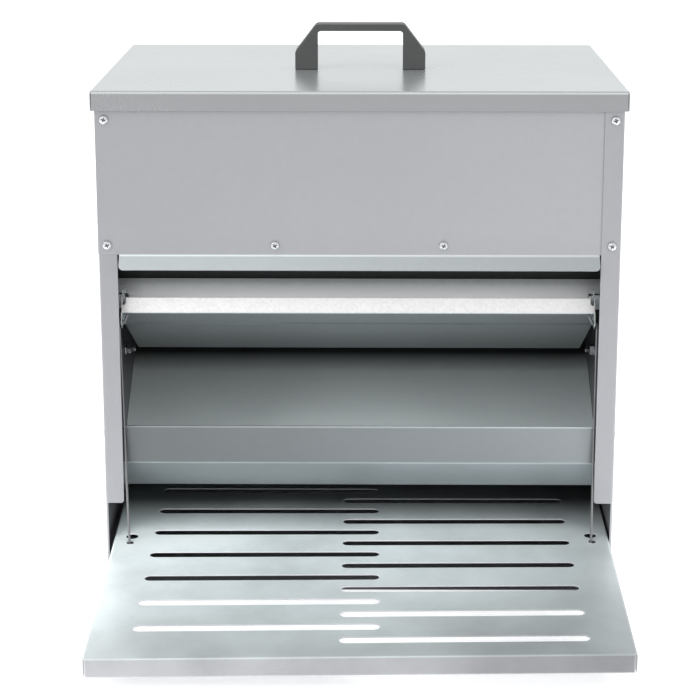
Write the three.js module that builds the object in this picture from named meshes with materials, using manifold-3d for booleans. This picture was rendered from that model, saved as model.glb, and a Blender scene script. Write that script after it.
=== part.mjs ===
// Gravity poultry feeder: a galvanised sheet-steel feed box whose treadle opens a guard flap.
// Millimetres. +X is the right side seen from the front, +Y the back, +Z up.
// The origin is on the floor under the middle of the box.
import * as THREE from "three";
import { mergeVertices } from "three/addons/utils/BufferGeometryUtils.js";
import Module from "manifold-3d";

const wasm = await Module();
wasm.setup();

// Driving dimensions.
const SHEET = 0.8;
const GAP = 0.3;
const BEND = 1.3;
const BOX = { width: 400, depth: 300, top: 398.9 };
const RIGHT_POST = { flange: 15, foot: 74.5 };
const LEFT_POST = { flange: 14.4, foot: 73.2 };
const POST_CORNER = 2.5;
const FRONT_LIP = { bend: 273.6, reach: 9.8, halfWidth: 184, corner: 4 };
const LID = { width: 406, depth: 304, top: 400, lip: 15 };
const HANDLE = { width: 105, height: 36.1, depth: 18, forward: 14 };
const HANDLE_SHAPE = { foot: 18, grip: 5.5, shoulder: 14, slant: 17 };
const HANDLE_HOLE = { inLid: 4.6, pilot: 4, pilotDepth: 11 };
const TROUGH = { face: 12, rim: 134, crease: 104, footBack: 38.6, foot: 77.6, floor: 78.4, floorBack: 120 };
const HOPPER = { backHeight: 182.7, backFlange: 16 };
const BASE_FLANGE = 12.4;
const BAFFLE = { flangeTop: 292, bend: 276, bandTop: [63, 242], bandFoot: [57.5, 226], end: [150, 182] };
const BAFFLE_TAB = { back: [62, 78], up: [230, 240.5] };
const TREADLE = { width: 391.4, shift: 1.6, length: 330, lip: 14.4, tilt: 4.5 };
const TREADLE_PIN = { y: -30.4, z: 47.1, fromEnd: 7.5, drop: 7.2 };
const CORNER_RELIEF = 1.2;
const SLOT = { rows: 14, first: 26.5, pitch: 21, length: 179, width: 9.4, offset: 75 };
const FLAP_PIN = { back: 42, up: 230 };
const FLAP = { ear: 184.9, shift: -1, lipTop: [24.5, 234.8], lipFoot: [20.5, 223.5] };
const FLAP_STEP = { top: [44.5, 210.4], foot: [46, 208.4] };
const FLAP_LUG = { rod: 4.5, pin: 8 };
const FLAP_TAB = { inside: 2.2, outside: 5, back: 30.4, foot: 224.6, height: 11.4 };
const FLAP_NOTCH = { width: 2.6, foot: 6.2, corner: 2 };
const FLAP_END = { back: 136, up: 166, stiffenerBack: 139.5, stiffenerUp: 173.2 };
const ROD = { diameter: 2, hookBack: 20, hookUp: 216, topX: 186.6, bend: 1.9 };
const ROD_FOOT = { x: 182.2, shift: 0.9, plateHeight: 44, below: 5, toe: 6 };
const ROD_TAIL = { elbow: [182.5, 216.4], end: [180, 222] };
const ROD_EAR_HOLE = 4.2;
const SMALL_ROD_HOLE = { diameter: 6.4, back: -7, x: 182.2 };
const LARGE_ROD_HOLE = { diameter: 10, back: 5, x: 181.8 };
// The rod's foot stands this far behind the middle of its hole, to share the hole's play over the stroke.
const ROD_PLAY = 1.4;
const HOLD_OPEN_BOLT = { back: 150, up: 161, tip: 190, flange: 1.2 };
const BOLT = { shank: 5, head: 8, headHeight: 3.5, nut: 4, thinNut: 2.6, hole: 5.6, spacer: 9 };
const SCREW = { head: 7, headHeight: 2.2, shank: 3.4, length: 7, hole: 4 };

const FRONT = -BOX.depth / 2;
const BACK = BOX.depth / 2;
const SIDE = BOX.width / 2;
const WALL_INSIDE = SIDE - SHEET;
const BETWEEN_WALLS = WALL_INSIDE - GAP;
const HALF_SHEET = SHEET / 2;
// How far a cutter runs past the face of the sheet it cuts.
const PAST = 5;

// The front panel lies behind the right post's flange and in front of the left post's flange.
const RIGHT_FLANGE_FACE = FRONT;
const PANEL_FACE = RIGHT_FLANGE_FACE + SHEET + GAP;
const LEFT_FLANGE_FACE = PANEL_FACE + SHEET + GAP;

const galvanised = (color, roughness) => {
  return new THREE.MeshStandardMaterial({ color, roughness, metalness: 0.9 });
};
const STEEL = galvanised(0xb6bac0, 0.42);
const BRIGHT_STEEL = galvanised(0xd5dadb, 0.3);
const DARK_STEEL = galvanised(0x9aa1a4, 0.4);
const ZINC = galvanised(0xcfd2d4, 0.3);
const PLASTIC = new THREE.MeshStandardMaterial({ color: 0x666a6b, roughness: 0.55, metalness: 0 });

// Directions that a flat outline's width, height and thickness take in the feeder.
const ALONG_X = new THREE.Matrix4().makeBasis(
  new THREE.Vector3(0, 1, 0), new THREE.Vector3(0, 0, 1), new THREE.Vector3(1, 0, 0));
const ALONG_Y = new THREE.Matrix4().makeBasis(
  new THREE.Vector3(1, 0, 0), new THREE.Vector3(0, 0, 1), new THREE.Vector3(0, -1, 0));
const ALONG_Z = new THREE.Matrix4();

const behindFront = ([back, up]) => [FRONT + back, up];
const inOrder = (a, b) => (a < b ? [a, b] : [b, a]);

function solidOf(geometry) {
  const bare = geometry.clone();
  bare.deleteAttribute("normal");
  bare.deleteAttribute("uv");
  const welded = mergeVertices(bare, 1e-4);
  return new wasm.Manifold(new wasm.Mesh({
    numProp: 3,
    vertProperties: new Float32Array(welded.attributes.position.array),
    triVerts: new Uint32Array(welded.index.array),
  }));
}

function geometryOf(solid) {
  const mesh = solid.getMesh();
  const geometry = new THREE.BufferGeometry();
  geometry.setAttribute("position", new THREE.BufferAttribute(new Float32Array(mesh.vertProperties), 3));
  geometry.setIndex(new THREE.BufferAttribute(new Uint32Array(mesh.triVerts), 1));
  geometry.computeVertexNormals();
  return geometry;
}

function join(...geometries) {
  return geometryOf(geometries.map(solidOf).reduce((whole, piece) => whole.add(piece)));
}

function cut(geometry, ...cutters) {
  const whole = solidOf(geometry);
  return geometryOf(cutters.map(solidOf).reduce((rest, cutter) => rest.subtract(cutter), whole));
}

// A flat outline extruded through a range of its thickness direction.
function plate(shape, from, to, direction) {
  const settings = { depth: to - from, bevelEnabled: false, curveSegments: 5 };
  const geometry = new THREE.ExtrudeGeometry(shape, settings);
  return geometry.translate(0, 0, from).applyMatrix4(direction);
}

function polygon(points) {
  return new THREE.Shape(points.map(([a, b]) => new THREE.Vector2(a, b)));
}

// A polyline with its corners rounded as a press brake would leave them.
function bentPath(corners, radius = BEND) {
  const points = corners.map(([a, b]) => new THREE.Vector2(a, b));
  const path = [points[0]];
  for (let i = 1; i < points.length - 1; i++) {
    const towardLast = points[i - 1].clone().sub(points[i]).normalize();
    const towardNext = points[i + 1].clone().sub(points[i]).normalize();
    const setback = radius / Math.tan(Math.acos(towardLast.dot(towardNext)) / 2);
    const start = towardLast.multiplyScalar(setback).add(points[i]);
    const end = towardNext.multiplyScalar(setback).add(points[i]);
    path.push(...new THREE.QuadraticBezierCurve(start, points[i], end).getPoints(3));
  }
  path.push(points.at(-1));
  return path;
}

// The closed outline of a sheet that follows a path at its middle thickness.
function sheetOutline(path) {
  const left = [];
  const right = [];
  path.forEach((point, i) => {
    const before = path[Math.max(i, 1)].clone().sub(path[Math.max(i, 1) - 1]).normalize();
    const next = Math.min(i, path.length - 2);
    const after = path[next + 1].clone().sub(path[next]).normalize();
    const across = before.clone().add(after).normalize();
    const normal = new THREE.Vector2(-across.y, across.x);
    const reach = HALF_SHEET / across.dot(before);
    left.push(point.clone().addScaledVector(normal, reach));
    right.unshift(point.clone().addScaledVector(normal, -reach));
  });
  return new THREE.Shape([...right, ...left].reverse());
}

function bentSheet(corners, from, to, direction, radius) {
  return plate(sheetOutline(bentPath(corners, radius)), from, to, direction);
}

function block(x, y, z) {
  const geometry = new THREE.BoxGeometry(x[1] - x[0], y[1] - y[0], z[1] - z[0]);
  return geometry.translate((x[0] + x[1]) / 2, (y[0] + y[1]) / 2, (z[0] + z[1]) / 2);
}

const ALONG_AXIS = {
  x: (geometry, middle, [y, z]) => geometry.rotateZ(Math.PI / 2).translate(middle, y, z),
  y: (geometry, middle, [x, z]) => geometry.translate(x, middle, z),
  z: (geometry, middle, [x, y]) => geometry.rotateX(Math.PI / 2).translate(x, y, middle),
};

// A round or many-sided bar along an axis between two places on that axis.
function bar(axis, diameter, from, to, centre, sides = 12) {
  const geometry = new THREE.CylinderGeometry(diameter / 2, diameter / 2, Math.abs(to - from), sides);
  return ALONG_AXIS[axis](geometry, (from + to) / 2, centre);
}

// What a round hole removes from a side wall, at a place [y, z].
function wallHole(side, place, diameter) {
  return bar("x", diameter, side * (SIDE - PAST), side * (SIDE + PAST), place);
}

// What a screw's hole removes from a sheet that faces forward or back, at a place [x, z].
function screwHole(side, sheetY, [x, z]) {
  return bar("y", SCREW.hole, sheetY - PAST, sheetY + PAST, [side * x, z]);
}

const feeder = new THREE.Group();

function add(name, geometry, material, parent = feeder) {
  const mesh = new THREE.Mesh(geometry, material);
  mesh.name = name;
  parent.add(mesh);
  return mesh;
}

const sideName = (side) => (side > 0 ? "right" : "left");

// Places of the fasteners: [y, z] in a side wall, [x, z] in the front or the back.
const FLAP_PIN_AT = behindFront([FLAP_PIN.back, FLAP_PIN.up]);
const TREADLE_PIN_AT = [TREADLE_PIN.y, TREADLE_PIN.z];
const HOLD_OPEN_AT = behindFront([HOLD_OPEN_BOLT.back, HOLD_OPEN_BOLT.up]);
const TROUGH_SCREW_AT = behindFront([18, 126]);
const BAFFLE_SCREW_AT = behindFront([72, 236]);
const BASE_SCREWS_AT = [[-90, 7], [90, 7]];
const POST_SCREWS_AT = [[193, 378], [193, 281.4]];
const PANEL_SCREW_AT = [64.5, 281.4];
const BACK_SCREWS_AT = [[192.5, 30], [192.5, 205], [192.5, 375]];
const SLOPE_SCREW_AT = [100, 191];

// Side panels: a wall with a flange along its front and its back edge.
function sidePanel(side) {
  const { flange, foot } = side > 0 ? RIGHT_POST : LEFT_POST;
  const flangeFace = side > 0 ? RIGHT_FLANGE_FACE : LEFT_FLANGE_FACE;
  const wall = side * (SIDE - HALF_SHEET);
  const flangeEdge = side * (SIDE - flange);
  const frontY = flangeFace + HALF_SHEET;
  const backY = BACK - HALF_SHEET;
  const plan = [[flangeEdge, frontY], [wall, frontY], [wall, backY], [flangeEdge, backY]];
  const outline = sheetOutline(bentPath(side > 0 ? plan : plan.reverse()));
  const folded = plate(outline, 0, BOX.top, ALONG_Z);

  // Below its foot, the front flange is cut away up to the bend.
  const bendEdge = SIDE - SHEET - 1;
  const beyondFlange = SIDE - 2 * flange;
  const corner = { x: SIDE - flange + POST_CORNER, z: foot + POST_CORNER };
  const post = new THREE.Shape();
  post.moveTo(beyondFlange, -1);
  post.lineTo(bendEdge, -1);
  post.lineTo(bendEdge, foot);
  post.lineTo(corner.x, foot);
  post.absarc(corner.x, corner.z, POST_CORNER, -Math.PI / 2, -Math.PI, true);
  post.lineTo(beyondFlange, corner.z);
  const belowPost = plate(post, -FRONT - PAST, -FRONT + PAST, ALONG_Y);
  if (side < 0) {
    belowPost.rotateZ(Math.PI).translate(0, 2 * FRONT, 0);
  }

  const boltHoles = [FLAP_PIN_AT, TREADLE_PIN_AT, HOLD_OPEN_AT];
  const screwHoles = [TROUGH_SCREW_AT, BAFFLE_SCREW_AT, ...BASE_SCREWS_AT];
  return cut(
    folded,
    belowPost,
    ...boltHoles.map((place) => wallHole(side, place, BOLT.hole)),
    ...screwHoles.map((place) => wallHole(side, place, SCREW.hole)),
    ...POST_SCREWS_AT.map((place) => screwHole(side, FRONT, place)),
    ...BACK_SCREWS_AT.map((place) => screwHole(side, BACK, place)),
  );
}

// Front panel, with a rain lip bent outward along its lower edge between the posts.
function frontPanel() {
  const middle = PANEL_FACE + HALF_SHEET;
  const lipEnd = [middle - FRONT_LIP.reach, FRONT_LIP.bend - FRONT_LIP.reach];
  const corners = [[middle, BOX.top], [middle, FRONT_LIP.bend], lipEnd];
  const folded = bentSheet(corners, -SIDE, BETWEEN_WALLS, ALONG_X);

  const length = FRONT_LIP.reach * Math.SQRT2;
  const { halfWidth, corner } = FRONT_LIP;
  const beyondLip = new THREE.Shape();
  beyondLip.moveTo(halfWidth, -HALF_SHEET);
  beyondLip.lineTo(halfWidth, length - corner);
  beyondLip.absarc(halfWidth - corner, length - corner, corner, 0, Math.PI / 2, false);
  beyondLip.lineTo(halfWidth - corner, length + PAST);
  beyondLip.lineTo(SIDE + PAST, length + PAST);
  beyondLip.lineTo(SIDE + PAST, -HALF_SHEET);
  const downLip = new THREE.Vector3(0, -Math.SQRT1_2, -Math.SQRT1_2);
  const cutters = [1, -1].map((side) => {
    const across = new THREE.Vector3(side, 0, 0);
    const through = across.clone().cross(downLip);
    const inLip = new THREE.Matrix4().makeBasis(across, downLip, through);
    inLip.setPosition(0, middle, FRONT_LIP.bend);
    return plate(beyondLip, -3 * SHEET, 3 * SHEET, inLip);
  });
  const holes = [...POST_SCREWS_AT, PANEL_SCREW_AT].flatMap((place) => {
    return [1, -1].map((side) => screwHole(side, FRONT, place));
  });
  return cut(folded, ...cutters, ...holes);
}

// Back panel, inside the back flanges of the side panels.
function backPanel() {
  const face = BACK - SHEET - GAP;
  const flat = block([-BETWEEN_WALLS, BETWEEN_WALLS], [face - SHEET, face], [0, BOX.top]);
  const holes = [...BACK_SCREWS_AT, SLOPE_SCREW_AT].flatMap((place) => {
    return [1, -1].map((side) => screwHole(side, BACK, place));
  });
  return cut(flat, ...holes);
}

// Base panel, with a low flange up each side wall.
function basePanel() {
  const x = BETWEEN_WALLS - HALF_SHEET;
  const corners = [[-x, BASE_FLANGE], [-x, HALF_SHEET], [x, HALF_SHEET], [x, BASE_FLANGE]];
  const backEdge = BACK - 2 * (SHEET + GAP);
  const frontEdge = LEFT_FLANGE_FACE + SHEET + BEND;
  const folded = bentSheet(corners, -backEdge, -frontEdge, ALONG_Y);
  const holes = BASE_SCREWS_AT.flatMap((place) => {
    return [1, -1].map((side) => wallHole(side, place, SCREW.hole));
  });
  return cut(folded, ...holes);
}

// Hopper slope: one sheet from the back wall down to the trough floor.
function hopperSlope() {
  const wallSide = BACK - 2 * (SHEET + GAP) - HALF_SHEET - FRONT;
  const frontFlange = 9;
  const floorFront = TROUGH.footBack + 0.8;
  const corners = [
    [wallSide, HOPPER.backHeight + HOPPER.backFlange],
    [wallSide, HOPPER.backHeight],
    [TROUGH.floorBack, TROUGH.floor],
    [floorFront, TROUGH.floor],
    [floorFront - frontFlange * Math.SQRT1_2, TROUGH.floor + frontFlange * Math.SQRT1_2],
  ].map(behindFront);
  const folded = bentSheet(corners, -BETWEEN_WALLS, BETWEEN_WALLS, ALONG_X);
  return cut(folded, screwHole(1, BACK, SLOPE_SCREW_AT), screwHole(-1, BACK, SLOPE_SCREW_AT));
}

// Trough front: a hemmed rim, an upright face and a lower strip that slopes back.
function troughFront() {
  const middle = TROUGH.face + HALF_SHEET;
  const hem = { back: middle + 2, foot: TROUGH.rim - 8 };
  const rim = TROUGH.rim - HALF_SHEET;
  const corners = [
    [hem.back, hem.foot],
    [hem.back, rim],
    [middle, rim],
    [middle, TROUGH.crease],
    [TROUGH.footBack, TROUGH.foot],
  ].map(behindFront);
  const face = bentSheet(corners, -BETWEEN_WALLS, BETWEEN_WALLS, ALONG_X, 0.9);
  const tab = { back: 15, foot: TROUGH.crease + 2, top: TROUGH.rim - 3 };
  const tabs = [1, -1].map((side) => {
    const x = inOrder(side * (BETWEEN_WALLS - SHEET), side * BETWEEN_WALLS);
    return block(x, [FRONT + middle, FRONT + TROUGH.face + tab.back], [tab.foot, tab.top]);
  });
  const holes = [1, -1].map((side) => wallHole(side, TROUGH_SCREW_AT, SCREW.hole));
  return cut(join(face, ...tabs), ...holes);
}

// Hopper baffle: the inner front of the hopper, which leads the feed back behind the flap.
function hopperBaffle() {
  const flangeMiddle = LEFT_FLANGE_FACE + HALF_SHEET - FRONT;
  const corners = [
    [flangeMiddle, BAFFLE.flangeTop],
    [flangeMiddle, BAFFLE.bend],
    BAFFLE.bandTop,
    BAFFLE.bandFoot,
    BAFFLE.end,
  ].map(behindFront);
  const folded = bentSheet(corners, -BETWEEN_WALLS, BETWEEN_WALLS, ALONG_X);
  const tabs = [1, -1].map((side) => {
    const x = inOrder(side * (BETWEEN_WALLS - SHEET), side * BETWEEN_WALLS);
    return block(x, BAFFLE_TAB.back.map((back) => FRONT + back), BAFFLE_TAB.up);
  });
  const cutters = [1, -1].flatMap((side) => {
    const besidePost = block(
      inOrder(side * (SIDE - RIGHT_POST.flange - 1), side * SIDE),
      [FRONT - 1, FRONT + PAST + 1],
      [BAFFLE.bend - PAST - 1, BAFFLE.flangeTop + 1],
    );
    return [
      besidePost,
      wallHole(side, BAFFLE_SCREW_AT, SCREW.hole),
      screwHole(side, FRONT, PANEL_SCREW_AT),
    ];
  });
  return cut(join(folded, ...tabs), ...cutters);
}

// Lid: a flat top with four lips that fit over the box, open at the corners.
function lidShell() {
  const x = LID.width / 2 - HALF_SHEET;
  const y = LID.depth / 2 - HALF_SHEET;
  const top = LID.top - HALF_SHEET;
  const foot = LID.top - LID.lip;
  const across = [[-y, foot], [-y, top], [y, top], [y, foot]];
  const along = [[-x, foot], [-x, top], [x, top], [x, foot]];
  const halfWidth = LID.width / 2 - CORNER_RELIEF;
  const halfDepth = LID.depth / 2 - CORNER_RELIEF;
  const holes = [1, -1].map((side) => {
    const place = [side * HANDLE_SCREW_X, -HANDLE.forward];
    return bar("z", HANDLE_HOLE.inLid, top - PAST, top + PAST, place);
  });
  const shell = join(
    bentSheet(across, -halfWidth, halfWidth, ALONG_X),
    bentSheet(along, -halfDepth, halfDepth, ALONG_Y),
  );
  return cut(shell, ...holes);
}

// Handle: a moulded bridge with a foot at each end.
const HANDLE_SCREW_X = HANDLE.width / 2 - HANDLE_SHAPE.foot / 2;
const HANDLE_SEAT = LID.top + GAP;

function roundedOutline(corners, radii) {
  const points = corners.map(([a, b]) => new THREE.Vector2(a, b));
  const outline = [];
  points.forEach((point, i) => {
    const towardLast = points.at(i - 1).clone().sub(point).normalize();
    const towardNext = points[(i + 1) % points.length].clone().sub(point).normalize();
    const radius = radii[i];
    if (radius === 0) {
      outline.push(point);
      return;
    }
    const start = towardLast.multiplyScalar(radius).add(point);
    const end = towardNext.multiplyScalar(radius).add(point);
    outline.push(...new THREE.QuadraticBezierCurve(start, point, end).getPoints(4));
  });
  return new THREE.Shape(outline);
}

function handle() {
  const x = HANDLE.width / 2;
  const { foot, grip, shoulder, slant } = HANDLE_SHAPE;
  const inner = x - foot;
  const top = HANDLE.height;
  const underGrip = top - grip;
  const corners = [
    [-x, 0], [-inner, 0], [-inner, underGrip], [inner, underGrip], [inner, 0], [x, 0],
    [x, shoulder], [x - slant, top], [-x + slant, top], [-x, shoulder],
  ];
  const radii = [0, 0, 3.2, 3.2, 0, 0, 1.5, 2.2, 2.2, 1.5];
  const outline = roundedOutline(corners, radii);
  const bridge = plate(outline, -HANDLE.depth / 2, HANDLE.depth / 2, ALONG_Y);
  const pilots = [1, -1].map((side) => {
    return bar("z", HANDLE_HOLE.pilot, -1, HANDLE_HOLE.pilotDepth, [side * HANDLE_SCREW_X, 0]);
  });
  return cut(bridge, ...pilots);
}

// Treadle plate: lips along its front and sides, two columns of slots and the rod holes.
function treadlePlate() {
  const x = TREADLE.width / 2 - HALF_SHEET;
  const top = TREADLE_PIN.drop - HALF_SHEET;
  const foot = TREADLE_PIN.drop - TREADLE.lip;
  const backEnd = TREADLE_PIN.fromEnd;
  const frontEnd = backEnd - TREADLE.length;
  const front = frontEnd + HALF_SHEET;
  const across = [[front, foot], [front, top], [backEnd, top]];
  const along = [[-x, foot], [-x, top], [x, top], [x, foot]];
  const folded = join(
    bentSheet(across, -x + CORNER_RELIEF, x - CORNER_RELIEF, ALONG_X),
    bentSheet(along, -backEnd, -frontEnd - CORNER_RELIEF, ALONG_Y),
  );

  const slots = Array.from({ length: SLOT.rows }, (_, row) => {
    const column = row % 2 === 0 ? SLOT.offset : -SLOT.offset;
    const y = frontEnd + SLOT.first + row * SLOT.pitch;
    const half = (SLOT.length - SLOT.width) / 2;
    const slot = new THREE.Shape();
    slot.absarc(column + half, y, SLOT.width / 2, -Math.PI / 2, Math.PI / 2, false);
    slot.absarc(column - half, y, SLOT.width / 2, Math.PI / 2, 1.5 * Math.PI, false);
    return plate(slot, top - PAST, top + PAST, ALONG_Z);
  });
  const tilt = THREE.MathUtils.degToRad(TREADLE.tilt);
  const rodHole = (side, { diameter, back, x: out }) => {
    const y = (FRONT + back - TREADLE_PIN.y + TREADLE_PIN.drop * Math.sin(tilt)) / Math.cos(tilt);
    return bar("z", diameter, top - PAST, top + PAST, [side * out, y]);
  };
  const holes = [1, -1].flatMap((side) => [
    rodHole(side, SMALL_ROD_HOLE),
    rodHole(side, LARGE_ROD_HOLE),
    bar("x", BOLT.hole, side * (x - PAST), side * (x + PAST), [0, 0]),
  ]);
  return cut(folded, ...slots, ...holes);
}

// Flap: a lip along its front, a creased face, and an ear at each end for its pivot and its rod.
function flapOutline() {
  const ear = new THREE.Shape();
  ear.moveTo(...behindFront([ROD.hookBack - FLAP_LUG.rod, ROD.hookUp]));
  ear.absarc(FRONT + ROD.hookBack, ROD.hookUp, FLAP_LUG.rod, Math.PI, 1.8 * Math.PI, false);
  ear.lineTo(...behindFront([FLAP_STEP.foot[0], FLAP_STEP.foot[1] - HALF_SHEET]));
  ear.lineTo(...behindFront([FLAP_END.back, FLAP_END.up - HALF_SHEET]));
  ear.lineTo(...behindFront([FLAP_END.stiffenerBack, FLAP_END.stiffenerUp]));
  ear.absarc(FRONT + FLAP_PIN.back, FLAP_PIN.up, FLAP_LUG.pin, 0, 0.5 * Math.PI, false);
  ear.lineTo(...behindFront([FLAP_PIN.back - 1.5 * FLAP_LUG.pin, FLAP_PIN.up + FLAP_LUG.pin + 1.5]));
  ear.lineTo(...behindFront([FLAP_TAB.back - HALF_SHEET, FLAP_TAB.foot]));
  ear.lineTo(...behindFront([FLAP.lipFoot[0] - 2, FLAP.lipFoot[1] + 1]));
  return ear;
}

// What is cut from an upper corner of the flap's front lip, beside the ear.
function notch(side) {
  const { width, foot, corner } = FLAP_NOTCH;
  const outside = FLAP.ear - SHEET;
  const inside = outside - width;
  const beyond = 3 * foot;
  const corners = [[inside, foot], [outside, foot], [outside, beyond], [inside, beyond]];
  const across = new THREE.Vector3(side, 0, 0);
  const [lean, rise] = [0, 1].map((i) => FLAP.lipTop[i] - FLAP.lipFoot[i]);
  const upLip = new THREE.Vector3(0, lean, rise).normalize();
  const onLip = new THREE.Matrix4().makeBasis(across, upLip, across.clone().cross(upLip));
  onLip.setPosition(0, ...behindFront(FLAP.lipFoot));
  return plate(roundedOutline(corners, [corner, 0, 0, 0]), -3 * SHEET, 3 * SHEET, onLip);
}

function flap() {
  const corners = [
    FLAP.lipTop,
    FLAP.lipFoot,
    FLAP_STEP.top,
    FLAP_STEP.foot,
    [FLAP_END.back, FLAP_END.up],
    [FLAP_END.stiffenerBack, FLAP_END.stiffenerUp],
  ].map(behindFront);
  const face = bentSheet(corners, -FLAP.ear, FLAP.ear, ALONG_X, 0.7);
  const pieces = [1, -1].flatMap((side) => {
    const ear = plate(flapOutline(), -HALF_SHEET, HALF_SHEET, ALONG_X);
    ear.translate(side * (FLAP.ear - HALF_SHEET), 0, 0);
    const { inside, outside, back, foot, height } = FLAP_TAB;
    const corners = [[-inside, 0], [outside, 0], [outside, height], [-inside, height]];
    const tab = roundedOutline(corners, [1.5, 1.5, 2.2, 2.2]);
    const tabAt = new THREE.Matrix4().makeBasis(
      new THREE.Vector3(side, 0, 0), new THREE.Vector3(0, 0, 1), new THREE.Vector3(0, -side, 0));
    tabAt.setPosition(side * FLAP.ear, FRONT + back, foot);
    return [ear, plate(tab, -HALF_SHEET, HALF_SHEET, tabAt)];
  });
  const rodHoleAt = behindFront([ROD.hookBack, ROD.hookUp]);
  const holes = [1, -1].flatMap((side) => {
    const through = [side * (FLAP.ear - 3 * SHEET), side * (FLAP.ear + 2 * SHEET)];
    return [
      bar("x", BOLT.hole, ...through, FLAP_PIN_AT),
      bar("x", ROD_EAR_HOLE, ...through, rodHoleAt),
    ];
  });
  return cut(join(cut(face, notch(1), notch(-1)), ...pieces), ...holes);
}

// Pull rod: a wire hooked through the flap's ear, with its foot bent under the treadle plate.
function pullRod(side) {
  const wire = (x, back, up) => new THREE.Vector3(x, FRONT + back, up);
  const topX = side * ROD.topX + FLAP.shift;
  const inTail = ([x, up]) => wire(side * x + FLAP.shift, ROD.hookBack, up);
  const footX = side * ROD_FOOT.x + ROD_FOOT.shift;
  const shoulder = wire(topX, ROD.hookBack, ROD.hookUp - 0.5);
  const inPlate = wire(footX, SMALL_ROD_HOLE.back + ROD_PLAY, ROD_FOOT.plateHeight);
  const knee = inPlate.clone().add(inPlate.clone().sub(shoulder).setLength(ROD_FOOT.below));
  const toe = new THREE.Vector3(-side * ROD_FOOT.toe, 0, -0.1 * ROD_FOOT.toe);
  const corners = [inTail(ROD_TAIL.end), inTail(ROD_TAIL.elbow), shoulder, knee, knee.clone().add(toe)];
  const route = new THREE.CurvePath();
  let last = corners[0];
  for (let i = 1; i < corners.length - 1; i++) {
    const start = corners[i - 1].clone().sub(corners[i]).setLength(ROD.bend).add(corners[i]);
    const end = corners[i + 1].clone().sub(corners[i]).setLength(ROD.bend).add(corners[i]);
    route.add(new THREE.LineCurve3(last, start));
    route.add(new THREE.QuadraticBezierCurve3(start, corners[i], end));
    last = end;
  }
  route.add(new THREE.LineCurve3(last, corners.at(-1)));
  const section = new THREE.Shape();
  section.absarc(0, 0, ROD.diameter / 2, 0, 2 * Math.PI, false);
  return new THREE.ExtrudeGeometry(section, { steps: 52, extrudePath: route, curveSegments: 4 });
}

const HEX_ACROSS_CORNERS = BOLT.head * 1.15;

// Fasteners. A bolt's head lies outside a side wall and its shank runs inward.
function wallBolt(side, place, tip) {
  const seat = SIDE + GAP;
  const head = bar("x", HEX_ACROSS_CORNERS, side * seat, side * (seat + BOLT.headHeight), place, 6);
  return join(head, bar("x", BOLT.shank, side * tip, side * (seat + 1), place));
}

function ring(side, place, outer, from, to, sides = 12) {
  const body = bar("x", outer, side * from, side * to, place, sides);
  return cut(body, bar("x", BOLT.hole, side * (from - 1), side * (to + 1), place));
}

// A pan-head screw along Y, its head's seat at y = 0 and its shank running to +Y.
function panHeadScrew() {
  const crown = new THREE.EllipseCurve(0, 0, SCREW.head / 2, SCREW.headHeight, 0, Math.PI / 2).getPoints(3);
  const profile = [
    new THREE.Vector2(0, -SCREW.length),
    new THREE.Vector2(SCREW.shank / 2, -SCREW.length),
    new THREE.Vector2(SCREW.shank / 2, 0),
    ...crown.slice(0, -1),
    new THREE.Vector2(0, SCREW.headHeight),
  ];
  return new THREE.LatheGeometry(profile, 10).rotateX(Math.PI);
}

function addScrew(name, position, towardHead, parent = feeder) {
  const screw = add(name, geometryOf(solidOf(panHeadScrew())), ZINC, parent);
  screw.quaternion.setFromUnitVectors(new THREE.Vector3(0, -1, 0), towardHead);
  screw.position.set(...position);
}

const TOWARD_FRONT = new THREE.Vector3(0, -1, 0);
const TOWARD_BACK = new THREE.Vector3(0, 1, 0);
const DOWNWARD = new THREE.Vector3(0, 0, -1);

// The fixed box.
for (const side of [1, -1]) {
  add(`${sideName(side)}_side_panel`, sidePanel(side), STEEL);
}
add("front_panel", frontPanel(), STEEL);
add("back_panel", backPanel(), STEEL);
add("base_panel", basePanel(), STEEL);
add("hopper_slope", hopperSlope(), DARK_STEEL);
add("trough_front", troughFront(), STEEL);
add("hopper_baffle", hopperBaffle(), DARK_STEEL);

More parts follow.
